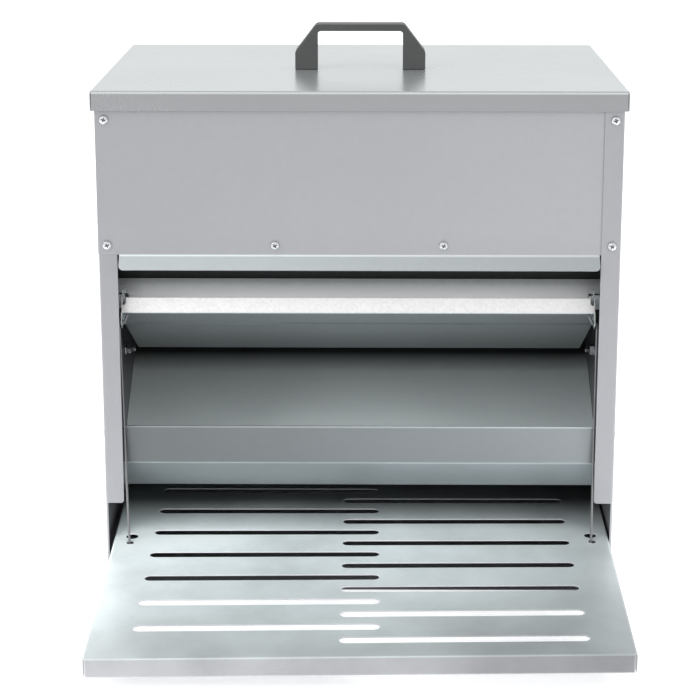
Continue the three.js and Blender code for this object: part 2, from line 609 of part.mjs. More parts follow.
for (const side of [1, -1]) {
  const name = sideName(side);
  const outward = new THREE.Vector3(side, 0, 0);
  const wallSeat = side * (SIDE + GAP);
  const postSeat = (side > 0 ? RIGHT_FLANGE_FACE : PANEL_FACE) - GAP;

  POST_SCREWS_AT.forEach(([x, z], i) => {
    addScrew(`${name}_post_screw_${i + 1}`, [side * x, postSeat, z], TOWARD_FRONT);
  });
  const [panelScrewX, panelScrewZ] = PANEL_SCREW_AT;
  const panelScrew = [side * panelScrewX, PANEL_FACE - GAP, panelScrewZ];
  addScrew(`${name}_panel_screw`, panelScrew, TOWARD_FRONT);
  addScrew(`${name}_trough_screw`, [wallSeat, ...TROUGH_SCREW_AT], outward);
  addScrew(`${name}_baffle_screw`, [wallSeat, ...BAFFLE_SCREW_AT], outward);
  BASE_SCREWS_AT.forEach((place, i) => {
    addScrew(`${name}_base_screw_${i + 1}`, [wallSeat, ...place], outward);
  });
  BACK_SCREWS_AT.forEach(([x, z], i) => {
    addScrew(`${name}_back_screw_${i + 1}`, [side * x, BACK + GAP, z], TOWARD_BACK);
  });
  const slopeSeat = BACK - SHEET;
  addScrew(`${name}_slope_screw`, [side * SLOPE_SCREW_AT[0], slopeSeat, SLOPE_SCREW_AT[1]], TOWARD_BACK);

  const wallNut = WALL_INSIDE - GAP;
  add(`${name}_hold_open_bolt`, wallBolt(side, HOLD_OPEN_AT, HOLD_OPEN_BOLT.tip), ZINC);
  const { flange } = HOLD_OPEN_BOLT;
  const nutFoot = wallNut - flange;
  const nutBody = ring(side, HOLD_OPEN_AT, HEX_ACROSS_CORNERS, nutFoot - BOLT.nut, nutFoot + flange / 2, 6);
  const nutFlange = ring(side, HOLD_OPEN_AT, HEX_ACROSS_CORNERS + 2 * SHEET, nutFoot, wallNut);
  add(`${name}_hold_open_nut`, join(nutBody, nutFlange), ZINC);

  const ear = FLAP.ear + side * FLAP.shift;
  const earInside = ear - SHEET - GAP;
  const flapNut = ring(side, FLAP_PIN_AT, HEX_ACROSS_CORNERS, earInside - BOLT.thinNut, earInside, 6);
  add(`${name}_flap_bolt`, wallBolt(side, FLAP_PIN_AT, earInside - BOLT.thinNut - 0.4), ZINC);
  add(`${name}_flap_spacer`, ring(side, FLAP_PIN_AT, BOLT.spacer, ear + GAP, wallNut), ZINC);
  add(`${name}_flap_nut`, flapNut, ZINC);

  const lipInside = TREADLE.width / 2 + side * TREADLE.shift - SHEET - GAP;
  const treadleNut = ring(side, TREADLE_PIN_AT, HEX_ACROSS_CORNERS, lipInside - BOLT.nut, lipInside, 6);
  add(`${name}_treadle_bolt`, wallBolt(side, TREADLE_PIN_AT, lipInside - BOLT.nut - 1), ZINC);
  add(`${name}_treadle_washer`, ring(side, TREADLE_PIN_AT, BOLT.spacer, wallNut - 1, wallNut), ZINC);
  add(`${name}_treadle_nut`, treadleNut, ZINC);
}

// The lid and its handle lift off together.
const lid = new THREE.Group();
feeder.add(lid);
add("lid_shell", lidShell(), BRIGHT_STEEL, lid);
add("handle", handle(), PLASTIC, lid).position.set(0, -HANDLE.forward, HANDLE_SEAT);
for (const side of [1, -1]) {
  const seat = LID.top - SHEET - GAP;
  addScrew(`${sideName(side)}_handle_screw`, [side * HANDLE_SCREW_X, -HANDLE.forward, seat], DOWNWARD, lid);
}

// The treadle turns on its two bolts; it is shown pressed down.
const treadle = new THREE.Group();
treadle.position.set(TREADLE.shift, TREADLE_PIN.y, TREADLE_PIN.z);
treadle.rotation.x = THREE.MathUtils.degToRad(TREADLE.tilt);
feeder.add(treadle);
add("treadle_plate", treadlePlate(), BRIGHT_STEEL, treadle);

// The flap and its two rods, shown open.
add("flap", flap(), BRIGHT_STEEL).position.x = FLAP.shift;
for (const side of [1, -1]) {
  add(`${sideName(side)}_pull_rod`, pullRod(side), ZINC);
}

export default feeder;
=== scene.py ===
"""Gravity poultry feeder: the looks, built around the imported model."""
import math

import bmesh
import bpy
from mathutils import Matrix, Vector

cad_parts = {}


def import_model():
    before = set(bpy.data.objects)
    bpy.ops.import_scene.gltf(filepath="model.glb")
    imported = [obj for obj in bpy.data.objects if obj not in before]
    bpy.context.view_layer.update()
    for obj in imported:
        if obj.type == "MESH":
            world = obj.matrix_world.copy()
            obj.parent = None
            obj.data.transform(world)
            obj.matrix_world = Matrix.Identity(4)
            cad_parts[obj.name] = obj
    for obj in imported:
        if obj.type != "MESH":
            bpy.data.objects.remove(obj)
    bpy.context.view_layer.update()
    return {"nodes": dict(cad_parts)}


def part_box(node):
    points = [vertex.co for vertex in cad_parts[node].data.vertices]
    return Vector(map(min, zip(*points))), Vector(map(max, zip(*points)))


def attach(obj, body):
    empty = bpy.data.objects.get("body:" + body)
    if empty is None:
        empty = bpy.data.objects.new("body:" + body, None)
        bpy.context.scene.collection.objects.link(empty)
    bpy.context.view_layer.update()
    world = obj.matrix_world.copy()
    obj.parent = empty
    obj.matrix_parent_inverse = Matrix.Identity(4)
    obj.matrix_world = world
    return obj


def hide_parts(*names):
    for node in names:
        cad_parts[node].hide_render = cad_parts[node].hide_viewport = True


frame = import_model()
nodes = frame["nodes"]
MM = 0.001

# Sizes of the fasteners. Heads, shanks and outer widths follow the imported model; the threads and the
# chamfers are added here.
SCREW_HEAD = {"radius": 3.5 * MM, "height": 2.2 * MM}
SCREW_SHANK = {"radius": 1.7 * MM, "length": 7.0 * MM, "pitch": 1.2 * MM}
HEX_CORNERS = 9.2 * MM
HEX_CHAMFER = 0.47 * HEX_CORNERS * math.cos(math.pi / 6)
BOLT_HEAD_HEIGHT = 3.5 * MM
BOLT_SHANK = {"radius": 2.5 * MM, "pitch": 0.8 * MM}
NUT_FLANGE_HEIGHT = 1.2 * MM
RING_RADIUS = {"bore": 2.6 * MM, "outer": 4.5 * MM}

# How far the treadle's front corners are bent up on the right and down on the left.
TREADLE_TWIST = 2.8 * MM


# ---------------------------------------------------------------- shader helpers

class Nodes:
    """A short way to build the node tree of a material or of the world."""

    def __init__(self, owner, output="ShaderNodeOutputMaterial", coordinates="Object"):
        owner.use_nodes = True
        self.tree = owner.node_tree
        self.tree.nodes.clear()
        self.output = self.add(output)
        self.place = self.add("ShaderNodeTexCoord").outputs[coordinates]

    def add(self, kind, **settings):
        node = self.tree.nodes.new(kind)
        for key, value in settings.items():
            setattr(node, key, value)
        return node

    def feed(self, socket, value):
        if isinstance(value, bpy.types.NodeSocket):
            self.tree.links.new(value, socket)
        else:
            socket.default_value = value

    def noise(self, scale, detail=4.0, roughness=0.55):
        node = self.add("ShaderNodeTexNoise")
        self.feed(node.inputs["Vector"], self.place)
        self.feed(node.inputs["Scale"], scale)
        self.feed(node.inputs["Detail"], detail)
        self.feed(node.inputs["Roughness"], roughness)
        return node.outputs["Fac"]

    def cells(self, scale):
        """A random grey for each crystal of the zinc."""
        node = self.add("ShaderNodeTexVoronoi")
        self.feed(node.inputs["Vector"], self.place)
        self.feed(node.inputs["Scale"], scale)
        split = self.add("ShaderNodeSeparateColor")
        self.feed(split.inputs[0], node.outputs["Color"])
        return split.outputs[0]

    def math(self, operation, a, b):
        node = self.add("ShaderNodeMath", operation=operation)
        self.feed(node.inputs[0], a)
        self.feed(node.inputs[1], b)
        return node.outputs[0]

    def ranged(self, value, low, high, from_low=0.3, from_high=0.7):
        node = self.add("ShaderNodeMapRange")
        self.feed(node.inputs["Value"], value)
        self.feed(node.inputs["From Min"], from_low)
        self.feed(node.inputs["From Max"], from_high)
        self.feed(node.inputs["To Min"], low)
        self.feed(node.inputs["To Max"], high)
        return node.outputs[0]

    def axis(self, index):
        """One of the object's own coordinates."""
        split = self.add("ShaderNodeSeparateXYZ")
        self.feed(split.inputs[0], self.place)
        return split.outputs[index]

    def distance(self, index, place=0.0):
        """How far the surface is from a plane across one axis."""
        away = self.math("SUBTRACT", self.axis(index), place)
        return self.math("ABSOLUTE", away, 0.0)

    def tinted(self, colour, factor):
        """A colour made lighter or darker by a factor that varies over the surface."""
        node = self.add("ShaderNodeVectorMath", operation="SCALE")
        self.feed(node.inputs[0], colour)
        self.feed(node.inputs["Scale"], factor)
        return node.outputs[0]

    def blended(self, factor, first, second):
        node = self.add("ShaderNodeMix", data_type="VECTOR")
        self.feed(node.inputs["Factor"], factor)
        self.feed(node.inputs["A"], first)
        self.feed(node.inputs["B"], second)
        return node.outputs["Result"]

    def bump(self, height, strength, distance, normal=None):
        node = self.add("ShaderNodeBump")
        self.feed(node.inputs["Height"], height)
        self.feed(node.inputs["Strength"], strength)
        self.feed(node.inputs["Distance"], distance)
        if normal is not None:
            self.feed(node.inputs["Normal"], normal)
        return node.outputs[0]

    def upward(self):
        """How far the surface faces up, from -1 to 1."""
        split = self.add("ShaderNodeSeparateXYZ")
        self.feed(split.inputs[0], self.add("ShaderNodeTexCoord").outputs["Normal"])
        return split.outputs[2]

    def openness(self, distance):
        """How open the surface is to the air around it, from 0 deep in a recess to 1."""
        node = self.add("ShaderNodeAmbientOcclusion", samples=6)
        node.inputs["Distance"].default_value = distance
        return node.outputs["AO"]

    def rounded(self, radius):
        """The normal with the sheet's edges softened."""
        node = self.add("ShaderNodeBevel", samples=4)
        node.inputs["Radius"].default_value = radius
        return node.outputs[0]

    def edges(self, radius):
        """0 on a flat face, rising toward 1 within a radius of its edges."""
        node = self.add("ShaderNodeVectorMath", operation="DOT_PRODUCT")
        self.feed(node.inputs[0], self.rounded(radius))
        self.feed(node.inputs[1], self.add("ShaderNodeNewGeometry").outputs["True Normal"])
        return self.ranged(node.outputs["Value"], 1.0, 0.0, 0.75, 0.98)


CRYSTAL_SCALE = 520.0

# Between these distances from the middle, the inner faces of the box, which get painted shade, give way to
# its
# outer faces: across for its side walls, and forward or back for its flanges.
INNER_WALL_X = (0.1993, 0.1998)
INNER_WALL_Y = (0.1464, 0.1468)

# Painted light and shade that changes from left to right does so between these places.
ACROSS_X = (-0.18, 0.18)


def galvanised(name, colour, rough, metallic, spangle, mottle, wave, relief=0.1, clouds=7.0, across=0.0,
               fades=(), facing=None, above=None, folds=(), rim=0.0, inside=1.0, specular=0.5):
    """Zinc-coated sheet: crystal spangle, soft mottling, rolling grain and a slightly wavy surface.

    across is painted light and shade that shifts the tone across the width. Each of fades paints light
    and shade along one axis, as (axis, from, to, factor at from, factor at to). facing paints light and
    shade by which way the sheet faces: a factor for where it faces down, one for sideways and a pair for
    up, at its left and its right; above is its colour there, a painted colour for the lit tops. Each of
    folds is a painted highlight along a bend, as (axis, place, gain). rim adds painted highlights along
    edges. inside is the factor of painted shade on the inner faces of the box."""
    material = bpy.data.materials.new(name)
    n = Nodes(material)
    crystals = n.math("ADD", n.math("MULTIPLY", n.cells(CRYSTAL_SCALE), 0.6),
                      n.math("MULTIPLY", n.cells(CRYSTAL_SCALE * 2.3), 0.4))
    cloud = n.noise(clouds, 4.0, 0.55)
    rolled = n.noise(160.0, 3.0, 0.6)
    shade = n.math("ADD", n.ranged(crystals, 1.0 - spangle, 1.0 + spangle, 0.0, 1.0),
                   n.ranged(cloud, -mottle, mottle))
    shade = n.math("ADD", shade, n.ranged(rolled, -0.15 * relief, 0.15 * relief))
    # Painted light and shade: lighter toward one side and darker toward the other.
    if across:
        shade = n.math("MULTIPLY", shade, n.ranged(n.axis(0), 1.0 - across, 1.0 + across, *ACROSS_X))
    # Painted light and shade along an axis: a painted shadow where the factor drops, a painted pool of
    # light where it rises.
    for index, start, end, at_start, at_end in fades:
        shade = n.math("MULTIPLY", shade, n.ranged(n.axis(index), at_start, at_end, start, end))
    # Painted light and shade by which way the surface faces, with a painted colour for faces turned up.
    if facing is not None:
        down, side, up = facing
        tilt = n.upward()
        below = n.ranged(tilt, down, side, -0.5, -0.2)
        lit = n.ranged(n.axis(0), up[0] - side, up[1] - side, *ACROSS_X)
        rising = n.ranged(tilt, 0.0, 1.0, 0.1, 0.3)
        shade = n.math("MULTIPLY", shade, n.math("ADD", below, n.math("MULTIPLY", rising, lit)))
        if above is not None:
            colour = n.blended(rising, colour, above)
    # Painted shade on the inner faces of the box.
    if inside != 1.0:
        wall = n.ranged(n.distance(0), inside, 1.0, *INNER_WALL_X)
        flanges = n.ranged(n.distance(1), inside, 1.0, *INNER_WALL_Y)
        shade = n.math("MULTIPLY", shade, n.math("MAXIMUM", wall, flanges))
    # Painted highlights: a thin bright line along each bend.
    for index, place, gain in folds:
        shade = n.math("MULTIPLY", shade, n.ranged(n.distance(index, place), gain, 1.0, 0.2 * MM, 1.1 * MM))
    # Painted highlights along the edges.
    if rim:
        shade = n.math("ADD", shade, n.ranged(n.edges(1.8 * MM), 0.0, rim, 0.0, 1.0))
    patchy = min(0.03, 1.5 * spangle)
    roughness = n.math("ADD", n.ranged(crystals, rough - patchy, rough + patchy, 0.0, 1.0),
                       n.ranged(cloud, -0.03, 0.03))
    normal = n.bump(n.noise(5.0, 1.0, 0.4), wave, 0.0006, n.rounded(0.35 * MM))
    normal = n.bump(rolled, relief, 0.00004, normal)
    shader = n.add("ShaderNodeBsdfPrincipled")
    shader.inputs["Metallic"].default_value = metallic
    shader.inputs["Specular IOR Level"].default_value = specular
    n.feed(shader.inputs["Base Color"], n.tinted(colour, shade))
    n.feed(shader.inputs["Roughness"], roughness)
    n.feed(shader.inputs["Normal"], normal)
    n.feed(n.output.inputs["Surface"], shader.outputs[0])
    return material


def plated(name, colour, rough):
    """Zinc-plated fastener: bright, with a faint pitted surface."""
    material = bpy.data.materials.new(name)
    n = Nodes(material)
    pits = n.noise(900.0, 2.0, 0.6)
    shader = n.add("ShaderNodeBsdfPrincipled")
    shader.inputs["Metallic"].default_value = 0.9
    # Painted shade: the fastener is darker deep in its cross recess and in the crevices next to it.
    recess_shade = n.ranged(n.openness(2.5 * MM), 0.12, 1.0, 0.35, 0.95)
    shade = n.math("MULTIPLY", recess_shade, n.ranged(pits, 0.9, 1.08))
    n.feed(shader.inputs["Base Color"], n.tinted(colour, shade))
    n.feed(shader.inputs["Roughness"], n.ranged(pits, rough - 0.05, rough + 0.08))
    n.feed(shader.inputs["Normal"], n.bump(pits, 0.15, 0.00005))
    n.feed(n.output.inputs["Surface"], shader.outputs[0])
    return material


def moulded(name, colour):
    """Moulded plastic: a fine spark-eroded grain, slightly paler where it is rubbed."""
    material = bpy.data.materials.new(name)
    n = Nodes(material)
    grain = n.noise(1500.0, 2.0, 0.7)
    worn = n.noise(60.0, 3.0, 0.6)
    shader = n.add("ShaderNodeBsdfPrincipled")
    shader.inputs["IOR"].default_value = 1.5
    n.feed(shader.inputs["Base Color"], n.tinted(colour, n.ranged(worn, 0.94, 1.07)))
    n.feed(shader.inputs["Roughness"], n.ranged(grain, 0.42, 0.6))
    n.feed(shader.inputs["Normal"], n.bump(grain, 0.35, 0.0001))
    n.feed(n.output.inputs["Surface"], shader.outputs[0])
    return material


def assign(material, names):
    for name in names:
        mesh = nodes[name].data
        mesh.materials.clear()
        mesh.materials.append(material)


# ---------------------------------------------------------------- materials

# Painted light and shade: a little lighter toward one side; its upward rain lip is painted lighter and
# paler, more at the left, with a painted highlight along its bend.
SATIN = galvanised(
    "galvanised_satin", (0.415, 0.42, 0.44), rough=0.42, metallic=0.75, spangle=0.012, mottle=0.015,
    wave=0.15, across=0.05, facing=(1.0, 1.0, (1.56, 1.08)), above=(0.405, 0.435, 0.44),
    folds=((2, 0.2736, 1.5),))
# Painted light and shade: the inner faces of the walls, back and base are painted darker, and the panels
# are a little lighter toward one side.
SIDE = galvanised(
    "galvanised_side", (0.395, 0.40, 0.42), rough=0.42, metallic=0.75, spangle=0.012, mottle=0.015,
    wave=0.15, across=0.035, inside=0.6)
# Painted light and shade: far lighter toward one side, lighter where it faces down and darker where it
# stands upright, with painted highlights along its crease and its rim.
TROUGH = galvanised(
    "galvanised_trough", (0.39, 0.42, 0.435), rough=0.4, metallic=0.75, spangle=0.012, mottle=0.03,
    wave=0.2, across=0.33, facing=(1.28, 0.62, (1.0, 1.0)), folds=((2, 0.1038, 1.5), (2, 0.1332, 1.4)))
# Painted light and shade: a near-white colour, far paler than the same zinc elsewhere, lights it deep
# inside the box; a painted shadow darkens it toward the back, and further back it turns lighter again.
SLOPE = galvanised(
    "galvanised_slope", (0.91, 1.0, 1.0), rough=0.42, metallic=0.3, spangle=0.012, mottle=0.03,
    wave=0.2, fades=((1, 0.052, 0.073, 1.08, 0.05), (1, 0.1, 0.14, 1.0, 7.0)))
# Painted light and shade: a pale colour, twice as bright low down and painted darker toward its top, and
# painted almost black where it faces down.
BAND = galvanised(
    "galvanised_band", (0.84, 0.87, 0.87), rough=0.4, metallic=0.6, spangle=0.05, mottle=0.05,
    wave=0.2, fades=((2, 0.228, 0.242, 2.0, 0.57),), facing=(0.01, 1.0, (1.0, 1.0)), specular=0.05)
# Painted light and shade: its top gets its own colour, its upright lips and its underside are darker, and a
# painted highlight runs along one of its bends.
LID = galvanised(
    "galvanised_lid", (0.535, 0.545, 0.56), rough=0.26, metallic=0.7, spangle=0.006, mottle=0.02,
    wave=0.2, relief=0.02, facing=(0.8, 0.66, (0.9, 0.9)), above=(0.495, 0.53, 0.53),
    folds=((2, 0.3985, 1.6),))
# Painted light and shade: lighter toward one side, a painted pool of light across its middle, a painted
# shadow over its back, darker lips and underside, and painted highlights along its edges and slots.
TREADLE = galvanised(
    "galvanised_treadle", (0.59, 0.60, 0.625), rough=0.34, metallic=0.4, spangle=0.02, mottle=0.17,
    wave=0.3, clouds=11.0, across=-0.3, rim=0.5,
    fades=((1, -0.34, -0.15, 0.80, 1.42), (1, -0.135, -0.07, 1.0, 0.12)),
    facing=(0.8, 0.6, (1.0, 1.0)), above=(0.55, 0.60, 0.605))
# Painted light and shade: its upward strip gets a paler colour, its underside is darker and it darkens
# toward its back, and it is a little lighter toward one side.
BRIGHT = galvanised(
    "galvanised_bright", (0.68, 0.74, 0.76), rough=0.36, metallic=0.7, spangle=0.08, mottle=0.03,
    wave=0.2, across=-0.05, fades=((1, -0.08, -0.02, 1.0, 0.6),),
    facing=(0.44, 1.0, (1.0, 1.0)), above=(0.87, 0.87, 0.855))
ZINC = plated("zinc_plate", (0.72, 0.73, 0.75), 0.24)
WIRE = plated("zinc_wire", (0.27, 0.27, 0.28), 0.35)
PLASTIC = moulded("handle_plastic", (0.06, 0.062, 0.062))

assign(SATIN, ["front_panel"])
assign(SIDE, ["left_side_panel", "right_side_panel", "back_panel", "base_panel"])
assign(TROUGH, ["trough_front"])
assign(SLOPE, ["hopper_slope"])
assign(BAND, ["hopper_baffle"])
assign(LID, ["lid_shell"])
assign(TREADLE, ["treadle_plate"])
assign(BRIGHT, ["flap"])


# ---------------------------------------------------------------- detailed pieces

def new_object(name, mesh, material, body, slot, *stands_for, at=Matrix.Identity(4)):
    mesh.materials.clear()
    mesh.materials.append(material)
    piece = bpy.data.objects.new(name, mesh)
    bpy.context.scene.collection.objects.link(piece)
    piece.matrix_world = at
    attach(piece, body)
    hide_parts(*stands_for)
    return piece


def mesh_from(name, vertices, faces, smooth_angle=35.0):
    mesh = bpy.data.meshes.new(name)
    mesh.from_pydata(vertices, [], faces)
    built = bmesh.new()
    built.from_mesh(mesh)
    bmesh.ops.remove_doubles(built, verts=built.verts, dist=1e-7)
    bmesh.ops.recalc_face_normals(built, faces=built.faces)
    built.to_mesh(mesh)
    built.free()
    mesh.shade_smooth()
    mesh.set_sharp_from_angle(angle=math.radians(smooth_angle))
    return mesh


def revolved(name, rings, sides, smooth_angle=35.0):
    """A closed body from rings of (radius at an angle, height) up one axis; a zero radius closes it."""
    vertices = []
    for radius, height in rings:
        for i in range(sides):
            angle = 2.0 * math.pi * i / sides
            r = radius(angle) if callable(radius) else radius
            h = height(angle) if callable(height) else height
            vertices.append((r * math.cos(angle), r * math.sin(angle), h))
    faces = []
    for ring in range(len(rings) - 1):
        for i in range(sides):
            j = (i + 1) % sides
            low, high = ring * sides, (ring + 1) * sides
            faces.append((low + i, low + j, high + j, high + i))
    return mesh_from(name, vertices, faces, smooth_angle)


def cut(name, base, cutter):
    """A mesh with another one cut out of it."""
    pair = [bpy.data.objects.new("scratch", m) for m in (base, cutter)]
    for piece in pair:
        bpy.context.scene.collection.objects.link(piece)
    modifier = pair[0].modifiers.new("boolean", "BOOLEAN")
    modifier.operation = "DIFFERENCE"
    modifier.solver = "EXACT"
    modifier.object = pair[1]
    bpy.context.view_layer.update()
    evaluated = pair[0].evaluated_get(bpy.context.evaluated_depsgraph_get())
    mesh = bpy.data.meshes.new_from_object(evaluated)
    mesh.name = name
    for piece in pair:
        bpy.data.objects.remove(piece)
    return mesh


def screw_mesh():
    """Pan-head screw with a cross recess, its seat at z = 0 and its head toward +Z."""
    head, height = SCREW_HEAD["radius"], SCREW_HEAD["height"]
    shank, length, pitch = SCREW_SHANK["radius"], SCREW_SHANK["length"], SCREW_SHANK["pitch"]
    root, rim = 0.72 * shank, 0.35 * MM
    rings = [(0.0, -length)]
    for turn in range(5):
        z = -length + 0.6 * MM + turn * pitch
        rings += [(root, z), (shank, z + 0.3 * pitch), (root, z + 0.6 * pitch)]
    rings += [(shank * 0.8, 0.0), (head, 0.0), (head, rim)]
    for step in range(1, 6):
        angle = 0.5 * math.pi * step / 6
        rings.append((head * (0.12 + 0.88 * math.cos(angle)), rim + (height - rim) * math.sin(angle)))
    rings += [(0.3 * head, height), (0.0, height)]
    body = revolved("pan_head_screw", rings, 32)
    arm, width, deep = 2.0 * MM, 0.55 * MM, 1.3 * MM
    plus = [(width, width), (arm, width), (arm, -width), (width, -width), (width, -arm), (-width, -arm),
            (-width, -width), (-arm, -width), (-arm, width), (-width, width), (-width, arm), (width, arm)]
    top = [(x, y, height + 0.5 * MM) for x, y in plus]
    foot = [(0.55 * x, 0.55 * y, height - deep) for x, y in plus]
    count = len(plus)
    sides = [(i, (i + 1) % count, count + (i + 1) % count, count + i) for i in range(count)]
    ends = [tuple(range(count)), tuple(range(2 * count - 1, count - 1, -1))]
    recess = mesh_from("recess", top + foot, sides + ends)
    mesh = cut("pan_head_screw", body, recess)
    mesh.shade_smooth()
    mesh.set_sharp_from_angle(angle=math.radians(35.0))
    return mesh


def hex_radius(angle):
    """The distance from a hexagon's middle to its edge at an angle."""
    flat = 0.5 * HEX_CORNERS * math.cos(math.pi / 6)
    from_middle = (angle + math.pi / 6) % (math.pi / 3) - math.pi / 6
    return flat / math.cos(from_middle)


def chamfered(edge, direction):
    """The height of a hexagon's edge, lower at its corners where it is chamfered."""
    return lambda angle: edge - direction * max(0.0, hex_radius(angle) - HEX_CHAMFER) * 0.55


def bolt_mesh(name, length):
    """Hexagon bolt: its head above z = 0 and its threaded shank down to z = -length."""
    head, shank, pitch = BOLT_HEAD_HEIGHT, BOLT_SHANK["radius"], BOLT_SHANK["pitch"]
    root = 0.86 * shank
    rings = [(0.0, -length), (0.72 * shank, -length)]
    for turn in range(int((length - 1.2 * MM) / pitch)):
        z = -length + 0.4 * MM + turn * pitch
        rings += [(root, z), (shank, z + 0.4 * pitch), (shank, z + 0.5 * pitch), (root, z + 0.9 * pitch)]
    rings += [(shank, 0.0), (hex_radius, 0.0), (hex_radius, chamfered(head, 1.0)),
              (HEX_CHAMFER, head), (0.0, head)]
    return revolved(name, rings, 48, 25.0)


def nut_mesh(name, height, flange):
    """Hexagon nut from z = 0 to its height, with a round flange at its foot unless that is 0."""
    bore = 2.52 * MM
    rings = [(bore, 0.0)]
    if flange:
        outer = 5.4 * MM
        rings += [(outer, 0.0), (outer, 0.5 * flange), (outer - 0.5 * MM, flange),
                  (hex_radius, 1.15 * flange)]
    else:
        rings += [(HEX_CHAMFER, 0.0), (hex_radius, chamfered(0.0, -1.0))]
    rings += [(hex_radius, chamfered(height, 1.0)), (HEX_CHAMFER, height), (bore + 0.4 * MM, height),
              (bore, height - 0.4 * MM), (bore, 0.0)]
    return revolved(name, rings, 48, 25.0)


def ring_mesh(name, height):
    """Plain ring from z = 0 to its height, with softened outer edges."""
    bore, outer = RING_RADIUS["bore"], RING_RADIUS["outer"]
    soft = 0.2 * MM
    rings = [(bore, 0.0), (outer - soft, 0.0), (outer, soft), (outer, height - soft),
             (outer - soft, height), (bore, height), (bore, 0.0)]
    return revolved(name, rings, 32, 40.0)


def along(direction, seat, turn=0.0):
    """The place of a fastener whose own z axis points along a direction from its seat."""
    turned = direction.to_track_quat("Z", "Y").to_matrix().to_4x4()
    return Matrix.Translation(seat) @ turned @ Matrix.Rotation(turn, 4, "Z")


def outermost(name, direction):
    """The middle of the face of a node's box on one side."""
    low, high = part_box(name)
    seat = (low + high) / 2
    for i in range(3):
        if abs(direction[i]) > 0.5:
            seat[i] = high[i] if direction[i] > 0 else low[i]
    return seat


OUTWARD = {"left": Vector((-1, 0, 0)), "right": Vector((1, 0, 0))}
FORWARD, BACKWARD, DOWN = Vector((0, -1, 0)), Vector((0, 1, 0)), Vector((0, 0, -1))


def screw_faces(name):
    if "post_screw" in name or "panel_screw" in name:
        return FORWARD
    if "back_screw" in name or "slope_screw" in name:
        return BACKWARD
    if "handle_screw" in name:
        return DOWN
    return OUTWARD[name.split("_")[0]]


def add_fastener(name, mesh, body, seat, direction, turn=0.0):
    place = along(direction, seat, turn)
    new_object("fine_" + name, mesh, ZINC, body, "zinc_fastener", name, at=place)


def width_of(name):
    low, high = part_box(name)
    return high.x - low.x


def named(*endings):
    return sorted(n for n in nodes if n.endswith(endings))


def fasteners():
    screw = screw_mesh()
    for i, name in enumerate(sorted(n for n in nodes if "_screw" in n)):
        direction = screw_faces(name)
        seat = outermost(name, direction) - direction * SCREW_HEAD["height"]
        body = "lid" if "handle" in name else "box"
        add_fastener(name, screw, body, seat, direction, 0.7 * i + 0.4)
    for name in named("_bolt"):
        direction = OUTWARD[name.split("_")[0]]
        seat = outermost(name, direction) - direction * BOLT_HEAD_HEIGHT
        mesh = bolt_mesh("fine_" + name, width_of(name) - BOLT_HEAD_HEIGHT)
        add_fastener(name, mesh, "box", seat, direction)
    for name in named("_nut"):
        direction = -OUTWARD[name.split("_")[0]]
        flange = NUT_FLANGE_HEIGHT if "hold_open" in name else 0.0
        mesh = nut_mesh("fine_" + name, width_of(name), flange)
        add_fastener(name, mesh, "box", outermost(name, -direction), direction, 0.3)
    for name in named("_spacer", "_washer"):
        direction = OUTWARD[name.split("_")[0]]
        mesh = ring_mesh("fine_" + name, width_of(name))
        add_fastener(name, mesh, "box", outermost(name, -direction), direction)


def rounded_corner(last, here, following, radius, steps):
    """Points of a curve that replaces a corner from this far before it to this far after it."""
    start = here + (last - here).normalized() * radius
    end = here + (following - here).normalized() * radius
    times = [k / steps for k in range(steps + 1)]
    return [start * (1 - t) ** 2 + here * 2 * t * (1 - t) + end * t ** 2 for t in times]


def rounded_loop(corners, radii, steps):
    """A closed outline whose corners are replaced by arcs of the given radii."""
    loop = []
    count = len(corners)
    for i, corner in enumerate(corners):
        last, here, following = Vector(corners[i - 1]), Vector(corner), Vector(corners[(i + 1) % count])
        loop += rounded_corner(last, here, following, radii[i], steps)
    return loop


def fine_handle():
    low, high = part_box("handle")
    half, base, top = (high.x - low.x) / 2, low.z, high.z
    foot, grip, shoulder, slant = 18 * MM, 5.5 * MM, 14 * MM, 17 * MM
    corners = [(-half, base), (-half + foot, base), (-half + foot, top - grip), (half - foot, top - grip),
               (half - foot, base), (half, base), (half, base + shoulder), (half - slant, top),
               (-half + slant, top), (-half, base + shoulder)]
    radii = [v * MM for v in (0.6, 0.6, 3.2, 3.2, 0.6, 0.6, 1.5, 2.2, 2.2, 1.5)]
    loop = rounded_loop(corners, radii, 5)
    count = len(loop)
    vertices = [(p.x, low.y, p.y) for p in loop] + [(p.x, high.y, p.y) for p in loop]
    faces = [(i, (i + 1) % count, count + (i + 1) % count, count + i) for i in range(count)]
    faces += [tuple(range(count)), tuple(range(2 * count - 1, count - 1, -1))]
    mesh = mesh_from("fine_handle", vertices, faces, 30.0)
    piece = new_object("fine_handle", mesh, PLASTIC, "lid", "handle_plastic", "handle")
    soften = piece.modifiers.new("soften", "BEVEL")
    soften.width = 0.9 * MM
    soften.segments = 3
    soften.limit_method = "ANGLE"
    soften.angle_limit = math.radians(60.0)
    soften.harden_normals = True


